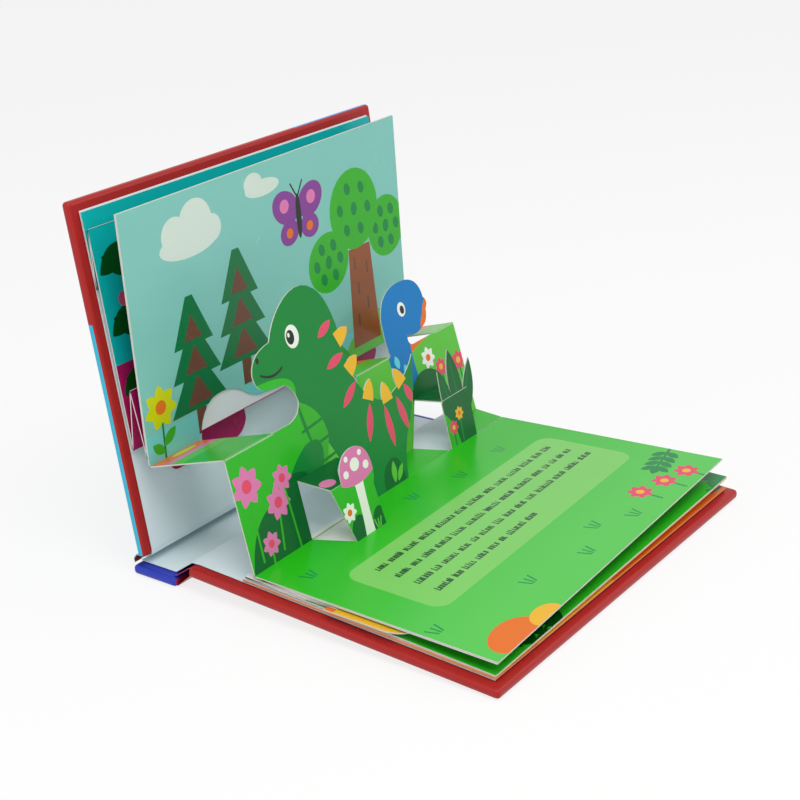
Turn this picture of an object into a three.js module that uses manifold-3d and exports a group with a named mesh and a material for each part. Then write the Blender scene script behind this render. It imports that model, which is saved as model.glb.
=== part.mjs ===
// A small hard-cover pop-up book, open at its second spread and standing on the table.
// Millimetres, +Z up. X runs from the spine to the back cover's fore edge and Y along the spine.
// The origin is the middle of the spine's underside, on the table.
// The back cover lies on the table, the front cover stands and leans back. Four sheets of card, each
// cut and folded from one piece, are glued back to back: sheet 2 is the open scene, sheet 1 is folded
// between it and the front cover, and sheets 3 and 4 are folded below its ground page.

import * as THREE from "three";
import { mergeVertices } from "three/addons/utils/BufferGeometryUtils.js";
import { RoundedBoxGeometry } from "three/addons/geometries/RoundedBoxGeometry.js";
import Module from "manifold-3d";

const wasm = await Module();
wasm.setup();

// Stock
const CARD = 0.4; // printed card of the sheets
const PAPER = 0.2; // covering and lining paper
const GREY_BOARD = 2.0; // core of the covers and spine
const FIT = 0.3; // room kept between separate pieces
const GLUED = CARD + FIT; // distance between the middles of two cards glued back to back

// Case
const COVER_W = 107.5; // hinge end to fore edge, covering included
const COVER_H = 136; // along the spine
const SPINE_W = 17.4;
const EDGE_ROUND = 1.2; // rounding of the covered edges
const TURN_IN = 12; // covering folded over onto the inner face
const MARGIN = 3.2; // covering left showing round the lining
const BACK_HINGE = [15.3, 5.2]; // underside of the back cover's hinge end
const FRONT_HINGE = [-6.1, 6.9]; // outer face of the front cover's lower end
const FRONT_LEAN = 6.5; // degrees behind upright

// Sheets
const SQUARE = 3; // the covers reach this far past the pages, along the spine
const PAGE_H = COVER_H - 2 * SQUARE;
const SQUARE_FORE = 3.8; // and past the leaves glued to them, at the fore edge
const LEAF_GLUED = 22.1; // strip of sheet 1 glued to the front cover
const SKY_H = 75.5; // back page above its fold
const SHELF = 31.9; // front shelf, sky page to front wall
const WALL = 35.1; // front wall, shelf to ground page
const GROUND = 82.4; // ground page, front wall to fore edge
const STEP_SHELF = 20.6; // shallower shelf of the far half
const STEP_WALL = 31.5; // its wall
const SHELF_END = 21; // where the near shelf stops, from the page's near edge
const STEP_START = 74.5; // where the shallower shelf starts
const FIGURE_FOOT = 74.7; // far end of the figure's fold on the ground page
const FIGURE_RISE = 37; // figure above the shelf
const BIRD = { from: 93, to: 118.5, rise: 21.4 }; // cut-out head above the far wall
const BOX_A = { from: 25.8, to: 44.5, depth: 12.6, height: 18.6 }; // box before the front wall
const BOX_A_SLANT = [6, 1.3]; // its near and far foot stand this much further along the spine
const BOX_C = { from: 99.3, to: 114, drop: 17, depth: 11.2 }; // box before the far wall
const FLAP_END = 98; // where the ground page's inner strip meets the far box

const radians = THREE.MathUtils.degToRad;
const SKIN = PAPER + FIT; // covering and its room, on each side of a grey board
const COVER_T = GREY_BOARD + 2 * SKIN; // thickness of a covered board
const LINED_T = COVER_T + FIT + PAPER; // with its lining

// Solids

function solid(geometry) {
  const bare = geometry.clone();
  bare.deleteAttribute("normal");
  bare.deleteAttribute("uv");
  const merged = mergeVertices(bare, 1e-4);
  return new wasm.Manifold(
    new wasm.Mesh({
      numProp: 3,
      vertProperties: new Float32Array(merged.attributes.position.array),
      triVerts: new Uint32Array(merged.index.array),
    }),
  );
}

function geometryOf(made) {
  const mesh = made.getMesh();
  const geometry = new THREE.BufferGeometry();
  geometry.setAttribute("position", new THREE.BufferAttribute(mesh.vertProperties, 3));
  geometry.setIndex(new THREE.BufferAttribute(mesh.triVerts, 1));
  geometry.computeVertexNormals();
  return geometry;
}

const join = (parts) => parts.reduce((whole, part) => whole.add(part));
const cut = (whole, parts) => parts.reduce((left, part) => left.subtract(part), whole);

// A box between two corners, with its edges rounded where a radius is given.
function block(low, high, radius = 0) {
  const size = high.map((value, i) => value - low[i]);
  const made = radius
    ? new RoundedBoxGeometry(...size, 2, radius)
    : new THREE.BoxGeometry(...size);
  return solid(made.translate(...low.map((value, i) => value + size[i] / 2)));
}

// Folds: straight lines along the spine that may stand differently at the page's near and far edge

class Fold {
  constructor(near, far = near) {
    this.near = near;
    this.far = far;
  }
  at(y) {
    const t = y / PAGE_H;
    return this.near.map((value, i) => value + (this.far[i] - value) * t);
  }
  // The next fold, a length of card away, at angles above +X at the near and the far edge.
  step(length, [nearAngle, farAngle]) {
    const move = ([x, z], angle) => [
      x + length * Math.cos(radians(angle)),
      z + length * Math.sin(radians(angle)),
    ];
    return new Fold(move(this.near, nearAngle), move(this.far, farAngle));
  }
  shift(dx, dz) {
    const move = ([x, z]) => [x + dx, z + dz];
    return new Fold(move(this.near), move(this.far));
  }
  // A line on the card between this fold and another, a length away from this one.
  towards(other, length) {
    const move = ([x, z], [u, w]) => {
      const share = length / Math.hypot(u - x, w - z);
      return [x + (u - x) * share, z + (w - z) * share];
    };
    return new Fold(move(this.near, other.near), move(this.far, other.far));
  }
}

const LONGEST_EDGE = 30; // a page that twists is drawn in triangles no longer than this

// Halves every edge longer than the limit, the same way in both triangles that share it.
function refine(points, faces, limit) {
  for (let again = true; again; ) {
    again = false;
    const middles = new Map();
    const middle = (a, b) => {
      if (points[a].distanceTo(points[b]) <= limit) return -1;
      const key = Math.min(a, b) + "_" + Math.max(a, b);
      if (!middles.has(key)) {
        middles.set(key, points.length);
        points.push(points[a].clone().add(points[b]).multiplyScalar(0.5));
      }
      return middles.get(key);
    };
    faces = faces.flatMap((face) => {
      const mids = face.map((a, i) => middle(a, face[(i + 1) % 3]));
      const count = mids.filter((m) => m >= 0).length;
      if (!count) return [face];
      again = true;
      const turn = count === 1 ? mids.findIndex((m) => m >= 0) : (mids.findIndex((m) => m < 0) + 1) % 3;
      const [a, b, c] = [0, 1, 2].map((i) => face[(i + turn) % 3]);
      const [ab, bc, ca] = [0, 1, 2].map((i) => mids[(i + turn) % 3]);
      if (count === 1) return [[a, ab, c], [ab, b, c]];
      if (count === 2) return [[a, ab, c], [ab, bc, c], [ab, b, bc]];
      return [[a, ab, ca], [ab, b, bc], [bc, c, ca], [ab, bc, ca]];
    });
  }
  return faces;
}

// A flat piece of card between two folds. Its outline is a shape in (s, y): s runs from the first fold
// towards the second, and y from the page's near edge along the spine.
function panel(from, to, outline, thickness = CARD) {
  const { shape, holes } = outline.extractPoints(6);
  const rings = [shape, ...holes].map((ring) => {
    const open = ring[0].distanceTo(ring.at(-1)) < 1e-6 ? ring.slice(0, -1) : ring;
    return open.filter((p, i) => p.distanceTo(open[(i + 1) % open.length]) > 1e-4);
  });
  if (THREE.ShapeUtils.isClockWise(rings[0])) rings[0].reverse();
  rings.slice(1).forEach((ring) => THREE.ShapeUtils.isClockWise(ring) || ring.reverse());
  const points = rings.flat();
  let faces = THREE.ShapeUtils.triangulateShape(rings[0], rings.slice(1));
  faces = refine(points, faces, LONGEST_EDGE);
  const spot = ({ x: s, y }, lift) => {
    const [x0, z0] = from.at(y);
    const [x1, z1] = to.at(y);
    const length = Math.hypot(x1 - x0, z1 - z0);
    const [dx, dz] = [(x1 - x0) / length, (z1 - z0) / length];
    return [x0 + dx * s - dz * lift, y - PAGE_H / 2, z0 + dz * s + dx * lift];
  };
  const count = points.length;
  const corners = [
    ...points.flatMap((p) => spot(p, thickness / 2)),
    ...points.flatMap((p) => spot(p, -thickness / 2)),
  ];
  const edges = new Map();
  faces.forEach((f) => f.forEach((a, i) => edges.set(a + "_" + f[(i + 1) % 3], [a, f[(i + 1) % 3]])));
  const index = faces.flatMap(([a, b, c]) => [a, b, c, a + count, c + count, b + count]);
  edges.forEach(([a, b]) => {
    if (!edges.has(b + "_" + a)) index.push(a + count, b + count, b, a + count, b, a);
  });
  const geometry = new THREE.BufferGeometry();
  geometry.setAttribute("position", new THREE.Float32BufferAttribute(corners, 3));
  geometry.setIndex(index);
  return solid(geometry);
}

const between = (a, b) => Math.hypot(b.near[0] - a.near[0], b.near[1] - a.near[1]);

// Outlines in (s, y)

function outline(points) {
  return new THREE.Shape(points.map(([s, y]) => new THREE.Vector2(s, y)));
}

const strip = (s0, s1, y0, y1) => outline([[s0, y0], [s1, y0], [s1, y1], [s0, y1]]);

// A smooth outline through (y, s) points, as a figure is drawn standing up.
function drawn(start, curves) {
  const shape = new THREE.Shape();
  shape.moveTo(start[1], start[0]);
  curves.forEach((points) => {
    if (points.length === 1) shape.lineTo(points[0][1], points[0][0]);
    if (points.length === 2) shape.quadraticCurveTo(...points.flatMap(([y, s]) => [s, y]));
    if (points.length === 3) shape.bezierCurveTo(...points.flatMap(([y, s]) => [s, y]));
  });
  return shape;
}

const LAP = CARD / 2; // a panel reaches half its thickness past a fold, where the next one starts

// The folds of sheet 2, as they stand in the open scene

const skyFoot = new Fold([0.95, 36.2], [-2.6, 36.2]);
const skyTop = skyFoot.step(SKY_H, [90.5, 90.7]);
const shelfLip = skyFoot.step(SHELF, [16.4, 15.7]);
const wallFoot = shelfLip.step(WALL, [-78.3, -76.6]);
const foreEdge = wallFoot.step(GROUND, [-1.1, 2]);
const stepLip = skyFoot.step(STEP_SHELF, [15.5, 16.2]);
const stepFoot = stepLip.step(STEP_WALL, [-76, -75]);
const boxBackA = wallFoot.towards(shelfLip, BOX_A.height);
const boxFootA = wallFoot.towards(foreEdge, BOX_A.depth);
const boxLipA = boxBackA.step(BOX_A.depth, [-1, 0]);
const boxBackC = stepLip.towards(stepFoot, BOX_C.drop);
const boxLipC = boxBackC.step(BOX_C.depth, [8, 8]);

// The big cut-out figure: a plain dinosaur in the plane of the front wall, facing the near edge.
// Its head stands above the shelf's fold, and the tail reaches past the foot.
function figureOutline() {
  const top = WALL;
  const crown = WALL + FIGURE_RISE;
  const far = FIGURE_FOOT;
  return drawn([0, 0], [
    [[BOX_A.from, 0]],
    [[BOX_A.from, BOX_A.height]],
    [[BOX_A.to, BOX_A.height]],
    [[BOX_A.to, 0]],
    [[far, 0]],
    [[far + 1, 9], [far + 6.5, 16]],
    [[far + 12, 22], [far + 16, top + 1]],
    [[far + 10, top - 6], [far - 2, top - 8]],
    [[far - 11, top - 6], [far - 15, top + 6]],
    [[far - 15, crown - 8], [far - 22, crown - 3]],
    [[far - 30, crown + 4], [far - 42, crown - 4], [far - 46, crown - 12]],
    [[far - 55, crown - 13], [far - 56, crown - 19]],
    [[far - 56, crown - 25], [far - 48, crown - 25]],
    [[far - 41, crown - 25], [far - 40, top + 5]],
    [[far - 41, top + 1], [far - 46, top]],
    [[SHELF_END, top]],
    [[0, top]],
  ]);
}

// Rounded plates that stand out of the figure's back, as [y, s, turn from upright in degrees].
function backPlates() {
  const top = WALL;
  const far = FIGURE_FOOT;
  const places = [
    [far - 15.5, top + 17, -68],
    [far - 14, top + 7, -58],
    [far - 9, top - 3.5, -28],
    [far - 1, top - 7, 4],
    [far + 7, top - 4.5, 24],
  ];
  return places.map(([y, s, turn]) => {
    const [half, tall, root] = [2.6, 4.6, 2];
    const [cos, sin] = [Math.cos(radians(turn)), Math.sin(radians(turn))];
    const place = (across, up) => [y + across * cos - up * sin, s + across * sin + up * cos];
    return drawn(place(-half, -root), [
      [place(half, -root)],
      [place(half * 0.9, tall * 0.6), place(0, tall)],
      [place(-half * 0.9, tall * 0.6), place(-half, -root)],
    ]);
  });
}

// The far wall, with a cut-out bird's head and neck above its fold, and the far box's opening.
function stepWallOutline() {
  const top = STEP_WALL;
  const crown = top + BIRD.rise;
  const { from, to } = BIRD;
  const sill = top - BOX_C.drop;
  return drawn([STEP_START, 0], [
    [[FLAP_END - 6, 0]],
    [[BOX_C.from, sill]],
    [[BOX_C.to, sill]],
    [[BOX_C.to, 0]],
    [[PAGE_H, 0]],
    [[PAGE_H, top]],
    [[to - 1, top]],
    [[to - 12, top]],
    [[to - 15, top + 0.5], [to - 14, top + 4]],
    [[to - 10, top + 2], [to - 5, top + 4]],
    [[to - 1.5, top + 5], [to - 1, top + 9]],
    [[to + 1.5, top + 11], [to - 0.8, top + 13]],
    [[to - 1, crown], [from + 14, crown]],
    [[from + 3, crown], [from + 0.5, top + 12]],
    [[from - 0.5, top + 6], [from + 0.5, top]],
    [[STEP_START, top]],
  ]);
}

// The page behind the scene. The figure's head was cut out of its foot.
function skyOutline() {
  return drawn([0, 0], [
    [[SHELF_END + 1.5, 0]],
    [[SHELF_END + 2, 8], [SHELF_END + 8, 11]],
    [[SHELF_END + 15, 13], [SHELF_END + 22, 8.5]],
    [[SHELF_END + 26, 5], [SHELF_END + 31, 4.4]],
    [[STEP_START - 5, 2.6]],
    [[STEP_START - 1, 1.6], [STEP_START, 0]],
    [[BIRD.from, 0]],
    [[BIRD.to, 0]],
    [[PAGE_H, 0]],
    [[PAGE_H, SKY_H]],
    [[0, SKY_H]],
  ]);
}

// The front of the near box: a toadstool's cap stands above its fold.
function boxFrontA() {
  const high = between(boxFootA, boxLipA);
  const middle = BOX_A.to - 6.2;
  const half = 7.4;
  return drawn([BOX_A.from + BOX_A_SLANT[0], -LAP], [
    [[BOX_A.to + BOX_A_SLANT[1], -LAP]],
    [[BOX_A.to, high - 5]],
    [[middle + half, high - 3.4], [middle + half, high - 0.5]],
    [[middle + half, high + 8], [middle, high + 8.4]],
    [[middle - half, high + 8], [middle - half, high]],
    [[BOX_A.from, high]],
  ]);
}

// The front of the far box: three pointed leaves stand above its fold.
function boxFrontC() {
  const high = between(wallFoot, boxLipC);
  const { from, to } = BOX_C;
  return drawn([from, -LAP], [
    [[to, -LAP]],
    [[to + 0.4, high - 6]],
    [[to + 5.5, high], [to + 4.4, high + 9.5]],
    [[to - 0.5, high + 5], [to - 2.2, high + 0.4]],
    [[to - 2, high + 10], [to - 6, high + 15.5]],
    [[to - 9.8, high + 9], [to - 9, high + 0.8]],
    [[to - 10, high + 7], [to - 13.6, high + 10.5]],
    [[to - 14.4, high + 4], [from + 0.4, high]],
    [[from, high]],
  ]);
}

function groundOutline() {
  const shape = strip(-LAP, GROUND, 0, PAGE_H);
  shape.holes.push(
    outline([
      [0, BOX_A.from],
      [BOX_A.depth, BOX_A.from + BOX_A_SLANT[0]],
      [BOX_A.depth, BOX_A.to + BOX_A_SLANT[1]],
      [0, BOX_A.to],
    ]),
  );
  return shape;
}

// The strip of ground page between the far wall's foot and the front wall's line.
function innerGround() {
  const wide = between(stepFoot, wallFoot);
  return [
    outline([
      [-LAP, STEP_START],
      [wide + LAP, FIGURE_FOOT + 0.4],
      [wide + LAP, FLAP_END],
      [-LAP, FLAP_END - 6],
    ]),
    strip(-LAP, wide + LAP, BOX_C.to, PAGE_H),
  ];
}

function sheet2() {
  const figure = figureOutline();
  return join([
    panel(skyFoot, skyTop, skyOutline()),
    panel(skyFoot, shelfLip, strip(-LAP, SHELF + LAP, 0, SHELF_END)),
    panel(skyFoot, stepLip, strip(-LAP, STEP_SHELF + LAP, STEP_START, BIRD.from)),
    panel(skyFoot, stepLip, strip(-LAP, STEP_SHELF + LAP, BIRD.to, PAGE_H)),
    panel(wallFoot, shelfLip, figure),
    ...backPlates().map((plate) => panel(wallFoot, shelfLip, plate)),
    panel(stepFoot, stepLip, stepWallOutline()),
    panel(boxBackA, boxLipA, strip(-LAP, BOX_A.depth + LAP, BOX_A.from, BOX_A.to - 13.4)),
    panel(boxFootA, boxLipA, boxFrontA()),
    panel(boxBackA, boxLipA, boxTopA()),
    panel(boxBackC, boxLipC, strip(-LAP, BOX_C.depth + LAP, BOX_C.from, BOX_C.to)),
    panel(wallFoot, boxLipC, boxFrontC()),
    panel(wallFoot, foreEdge, groundOutline()),
    ...innerGround().map((shape) => panel(stepFoot, wallFoot, shape)),
  ]);
}

// The top of the near box beside and behind the place that the cap was cut from.
function boxTopA() {
  const middle = BOX_A.to - 6.2;
  return drawn([BOX_A.to - 13.8, -LAP], [
    [[BOX_A.to, -LAP]],
    [[BOX_A.to, 3]],
    [[middle, 3.4], [middle - 7, BOX_A.depth + LAP]],
    [[BOX_A.to - 13.8, BOX_A.depth + LAP]],
  ]);
}

// Sheet 1: folded between the front cover and the sky page, glued to both

// A point of the front cover: up its height from the hinge end, and in from its outer face.
function onFront(up, inward) {
  const [sin, cos] = [Math.sin(radians(FRONT_LEAN)), Math.cos(radians(FRONT_LEAN))];
  return [
    FRONT_HINGE[0] - up * sin + inward * cos,
    FRONT_HINGE[1] + up * cos + inward * sin,
  ];
}

const LEAF_LIFT = LINED_T + FIT + CARD / 2; // middle of a card glued to a lined cover

function sheet1() {
  const leafTop = new Fold(onFront(COVER_W - SQUARE_FORE, LEAF_LIFT));
  const leafFoot = new Fold(onFront(COVER_W - SQUARE_FORE - LEAF_GLUED, LEAF_LIFT));
  const upperLip = new Fold([-11.9, 105.7], [-12.1, 105.7]);
  const lowerLip = new Fold([-5.0, 40.4], [-5.2, 40.4]);
  const innerLip = new Fold([-3.2, 59.0], [-4.9, 59.0]);
  const pageFoot = skyFoot.shift(-GLUED, 2.6);
  const pageTop = skyTop.shift(-GLUED, 0);
  const length = between(upperLip, lowerLip);
  const hang = 12; // the folded pop-up's own cut-out hangs below its fold
  const full = (a, b) => strip(-LAP, between(a, b) + LAP, 0, PAGE_H);
  const tab = (y0, y1) =>
    drawn([y0, length - 2], [
      [[y1, length - 2]],
      [[y1, length + hang * 0.6]],
      [[y1 - 2, length + hang], [y1 - 8, length + hang]],
      [[y0 + 4, length + hang]],
      [[y0, length + hang], [y0, length + hang * 0.5]],
    ]);
  return join([
    panel(leafFoot, leafTop, full(leafFoot, leafTop)),
    panel(leafFoot, upperLip, full(leafFoot, upperLip)),
    panel(upperLip, lowerLip, full(upperLip, lowerLip)),
    panel(upperLip, lowerLip, tab(12, 47)),
    panel(upperLip, lowerLip, tab(90, 114)),
    panel(lowerLip, innerLip, full(lowerLip, innerLip)),
    panel(innerLip, pageFoot, full(innerLip, pageFoot)),
    panel(pageFoot, pageTop, strip(-LAP, between(pageFoot, pageTop), 0, PAGE_H)),
  ]);
}

// Sheets 3 and 4: folded under the ground page, sheet 4 glued to the back cover

const BACK_TILT = -Math.asin(BACK_HINGE[1] / COVER_W);

// A point of the back cover: out from the hinge end, and up from its underside.
function onBack(out, up) {
  return [
    BACK_HINGE[0] + out * Math.cos(BACK_TILT) - up * Math.sin(BACK_TILT),
    BACK_HINGE[1] + out * Math.sin(BACK_TILT) + up * Math.cos(BACK_TILT),
  ];
}

const PAGE_END = COVER_W - MARGIN + 0.4; // fore edge of the folded leaves, from the hinge end
const FAN = { near: -0.2, far: 2.6 }; // how far the folded leaves spring apart at the fore edge
const leafOnBack = new Fold(onBack(PAGE_END, LEAF_LIFT));
const fanned = leafOnBack.shift(0, GLUED);
const middleLeaf = new Fold(
  [fanned.near[0], fanned.near[1] + FAN.near],
  [fanned.far[0], fanned.far[1] + FAN.far],
);

function sheet3() {
  const upperFoot = wallFoot.shift(2.7, -GLUED);
  const upperEnd = foreEdge.shift(-0.3, -GLUED);
  const lowerFoot = new Fold(onBack(19.5, LEAF_LIFT + 2 * GLUED));
  const lowerEnd = middleLeaf.shift(0, GLUED);
  const lip = new Fold([68.4, 8.9], [68.4, 10.1]);
  const whole = (a, b) => strip(-LAP, between(a, b), 0, PAGE_H);
  const reach = between(lowerFoot, lip);
  const tip = drawn([2.5, reach - 3], [
    [[24, reach - 3]],
    [[24, reach + 20]],
    [[22, reach + 28], [12, reach + 28]],
    [[2.5, reach + 26], [2.5, reach + 16]],
  ]);
  return join([
    panel(upperFoot, upperEnd, whole(upperFoot, upperEnd)),
    panel(upperFoot, lip, whole(upperFoot, lip)),
    panel(lowerFoot, lip, whole(lowerFoot, lip)),
    panel(lowerFoot, lip, tip),
    panel(lowerFoot, lowerEnd, whole(lowerFoot, lowerEnd)),
  ]);
}

function sheet4() {
  const upperFoot = new Fold(onBack(18.5, LEAF_LIFT + CARD - 0.1));
  const lowerFoot = new Fold(onBack(18.5, LEAF_LIFT));
  const whole = (a, b) => strip(-LAP, between(a, b), 0, PAGE_H);
  return join([
    panel(upperFoot, middleLeaf, whole(upperFoot, middleLeaf)),
    panel(lowerFoot, leafOnBack, whole(lowerFoot, leafOnBack)),
  ]);
}

// Case

// A ribbon of paper along the spine: a bent line in (x, z) with a thickness, from y0 to y1.
function ribbon(points, thickness, y0, y1) {
  const path = points.map(([x, z]) => new THREE.Vector2(x, z));
  const normals = path.slice(1).map((p, i) => {
    const d = p.clone().sub(path[i]).normalize();
    return new THREE.Vector2(-d.y, d.x);
  });
  const side = (sign) =>
    path.map((p, i) => {
      const a = normals[Math.max(i - 1, 0)];
      const b = normals[Math.min(i, normals.length - 1)];
      const mitre = a.clone().add(b).normalize();
      return p.clone().addScaledVector(mitre, (sign * thickness) / 2 / mitre.dot(a));
    });
  const shape = new THREE.Shape([...side(-1), ...side(1).reverse()]);
  const made = new THREE.ExtrudeGeometry(shape, { depth: y1 - y0, bevelEnabled: false });
  return solid(made.rotateX(Math.PI / 2).translate(0, y1, 0));
}

const HALF_H = COVER_H / 2;
const BOARD_ROUND = EDGE_ROUND - SKIN;
const HINGE_AXIS = [-SPINE_W / 2 - 0.1, COVER_T]; // the line that the front cover turns about
const SPINE_SIDE = COVER_T - FIT; // height of the covering up the spine board's sides

const board = (length) =>
  block([0, -HALF_H + SKIN, SKIN], [length - SKIN, HALF_H - SKIN, COVER_T - SKIN], BOARD_ROUND);

// The covering round a board that lies on its outer face, hinge end at x = 0: outer face, three edges
// and the paper turned in over the board. The hinge end and the middle of the inner face stay open.
function covering(length) {
  const outer = block([-4, -HALF_H, 0], [length, HALF_H, COVER_T], EDGE_ROUND);
  const room = block(
    [-6, -HALF_H + PAPER, PAPER],
    [length - PAPER, HALF_H - PAPER, COVER_T - PAPER],
    EDGE_ROUND - PAPER,
  );
  const window = block(
    [-6, -HALF_H + TURN_IN, COVER_T / 2],
    [length - TURN_IN, HALF_H - TURN_IN, COVER_T + 1],
  );
  const hingeEnd = block([-6, -HALF_H - 1, -1], [0, HALF_H + 1, COVER_T + 1]);
  return cut(outer, [room, window, hingeEnd]);
}

const ontoBack = new THREE.Matrix4()
  .makeTranslation(BACK_HINGE[0], 0, BACK_HINGE[1])
  .multiply(new THREE.Matrix4().makeRotationY(-BACK_TILT));

// The front cover's local x runs up the board, and its local z from the outer face to the inner one.
const ontoFront = new THREE.Matrix4()
  .makeTranslation(FRONT_HINGE[0], 0, FRONT_HINGE[1])
  .multiply(new THREE.Matrix4().makeRotationY(radians(-90 - FRONT_LEAN)))
  .multiply(new THREE.Matrix4().makeScale(1, 1, -1));

const placed = (made, matrix) => made.transform(matrix.toArray());

function spineBoard() {
  const half = SPINE_W / 2 - SKIN;
  return block([-half, -HALF_H + SKIN, SKIN], [half, HALF_H - SKIN, COVER_T - SKIN], BOARD_ROUND);
}

function spineCovering() {
  const half = SPINE_W / 2;
  const outer = block([-half, -HALF_H, 0], [half, HALF_H, COVER_T], EDGE_ROUND);
  const room = block(
    [-half + PAPER, -HALF_H + PAPER, PAPER],
    [half - PAPER, HALF_H - PAPER, COVER_T - PAPER],
    EDGE_ROUND - PAPER,
  );
  const open = block(
    [-half - 1, -HALF_H + TURN_IN, SPINE_SIDE],
    [half + 1, HALF_H - TURN_IN, COVER_T + 1],
  );
  return cut(outer, [room, open]);
}

// The covering of the spine and the back cover: one sheet, which crosses the back joint below the
// boards and is turned in over it at both ends.
function caseCovering() {
  const spineFoot = SPINE_W / 2 - EDGE_ROUND;
  const below = [[spineFoot, PAPER / 2], [spineFoot + 1.4, 0.5], onBack(-0.6, 0.2), onBack(1.5, PAPER / 2)];
  const above = [[spineFoot, COVER_T - PAPER / 2], onBack(-1.4, COVER_T - 0.9), onBack(1.5, COVER_T - PAPER / 2)];
  return join([
    spineCovering(),
    placed(covering(COVER_W), ontoBack),
    ribbon(below, PAPER, -HALF_H + EDGE_ROUND, HALF_H - EDGE_ROUND),
    ribbon(above, PAPER, -HALF_H + EDGE_ROUND, -HALF_H + TURN_IN),
    ribbon(above, PAPER, HALF_H - TURN_IN, HALF_H - EDGE_ROUND),
  ]);
}

// The front cover's covering, with the free strip that bends at the hinge.
function frontCovering() {
  const [x, z] = HINGE_AXIS;
  const hinge = [[x, z + 0.35], [x - 0.15, z + 1.6], [x + 0.9, z + 3], onFront(-0.4, 0.2), onFront(1.5, PAPER / 2)];
  return join([
    placed(covering(COVER_W), ontoFront),
    ribbon(hinge, PAPER, -HALF_H + EDGE_ROUND, HALF_H - EDGE_ROUND),
  ]);
}

const LINING_MIDDLE = COVER_T + FIT + PAPER / 2;

function frontLining() {
  const [x, z] = HINGE_AXIS;
  const path = [
    [x + 0.5, z + 0.95],
    onFront(-0.6, LINING_MIDDLE - 0.4),
    onFront(1.2, LINING_MIDDLE),
    onFront(COVER_W - MARGIN, LINING_MIDDLE),
  ];
  return ribbon(path, PAPER, -HALF_H + MARGIN, HALF_H - MARGIN);
}

function backLining() {
  const half = SPINE_W / 2;
  const path = [
    [-half + 0.8, LINING_MIDDLE],
    [half - 2.2, LINING_MIDDLE],
    onBack(-1.8, LINING_MIDDLE - 0.3),
    onBack(1.2, LINING_MIDDLE),
    onBack(COVER_W - MARGIN, LINING_MIDDLE),
  ];
  return ribbon(path, PAPER, -HALF_H + MARGIN, HALF_H - MARGIN);
}

// Assembly

const root = new THREE.Group();

function add(name, made, color, roughness) {
  const material = new THREE.MeshStandardMaterial({ color, roughness, metalness: 0 });
  const mesh = new THREE.Mesh(geometryOf(made), material);
  mesh.name = name;
  root.add(mesh);
}

add("spine_board", spineBoard(), 0x8c8578, 0.9);
add("back_board", placed(board(COVER_W), ontoBack), 0x8c8578, 0.9);
add("front_board", placed(board(COVER_W), ontoFront), 0x8c8578, 0.9);
add("case_covering", caseCovering(), 0xbe2d2d, 0.45);
add("front_covering", frontCovering(), 0xbe2d2d, 0.45);
add("case_lining", backLining(), 0xafc3c8, 0.6);
add("front_lining", frontLining(), 0xafc3c8, 0.6);
add("sheet_1", sheet1(), 0x00a0a0, 0.35);
add("sheet_2", sheet2(), 0x1ebe1e, 0.35);
add("sheet_3", sheet3(), 0x28b428, 0.35);
add("sheet_4", sheet4(), 0xe1730f, 0.35);

export default root;
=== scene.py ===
"""Looks of the pop-up book: printed card sheets built round the packed part, its case, stage and camera.
Lengths are millimetres in the builders and metres in Blender."""

import math
import random

import bpy
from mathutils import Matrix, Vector
from mathutils.geometry import delaunay_2d_cdt


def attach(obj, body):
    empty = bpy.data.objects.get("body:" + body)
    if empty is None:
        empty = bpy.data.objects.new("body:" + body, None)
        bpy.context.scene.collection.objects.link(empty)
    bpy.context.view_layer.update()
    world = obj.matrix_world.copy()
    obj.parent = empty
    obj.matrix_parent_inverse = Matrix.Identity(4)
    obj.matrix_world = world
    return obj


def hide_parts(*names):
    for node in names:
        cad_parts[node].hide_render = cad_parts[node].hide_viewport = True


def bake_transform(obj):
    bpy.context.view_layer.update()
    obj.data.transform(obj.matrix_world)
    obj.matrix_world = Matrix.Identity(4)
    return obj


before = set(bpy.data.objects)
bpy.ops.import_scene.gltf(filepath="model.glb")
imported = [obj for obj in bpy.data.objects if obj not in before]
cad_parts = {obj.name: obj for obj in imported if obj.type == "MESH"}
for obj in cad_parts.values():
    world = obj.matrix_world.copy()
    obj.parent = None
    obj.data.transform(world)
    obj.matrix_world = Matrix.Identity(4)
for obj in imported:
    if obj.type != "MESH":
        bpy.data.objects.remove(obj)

bl_info = {
    "name": "Pop-up book",
    "version": (1, 0, 0),
    "blender": (4, 5, 0),
    "location": "View3D > Sidebar > Pop-up book",
    "description": "Builds a hard-cover pop-up book with printed, cut and folded card sheets",
    "category": "Add Mesh",
}

MM = 0.001

# The folded sheets' lengths in millimetres, as in the part's source
PAGE_H = 130.0
CARD = 0.4
LAP = CARD / 2
SKY_H = 75.5
SHELF = 31.9
WALL = 35.1
GROUND = 82.4
STEP_SHELF = 20.6
STEP_WALL = 31.5
SHELF_END = 21.0
STEP_START = 74.5
FIGURE_FOOT = 74.7
FIGURE_RISE = 37.0
BIRD_FROM, BIRD_TO, BIRD_RISE = 93.0, 118.5, 21.4
BOX_A_SLANT = (6.0, 1.3)
BOX_A_FROM, BOX_A_TO, BOX_A_DEPTH, BOX_A_HEIGHT = 25.8, 44.5, 12.6, 18.6
BOX_C_FROM, BOX_C_TO, BOX_C_DROP, BOX_C_DEPTH = 99.3, 114.0, 17.0, 11.2
FLAP_END = 98.0

# The case: cover, the inner faces' hinge points in (x, z), the front cover's lean
COVER_W = 107.5
MARGIN = 3.2
FRONT_HINGE = (-6.1, 6.9)
BACK_HINGE = (15.3, 5.2)
FRONT_LEAN = math.radians(6.5)
BACK_TILT = -math.asin(BACK_HINGE[1] / COVER_W)
LEAF_LIFT = 4.0
GLUED = 0.7
SHOWN_GLUED = 0.42

# Where the covering changes colour, in metres
BAND_HEIGHT = 0.0783
SPINE_END = 0.0084
TOP_PATCH = 0.030
SHARP = 0.0003

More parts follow.
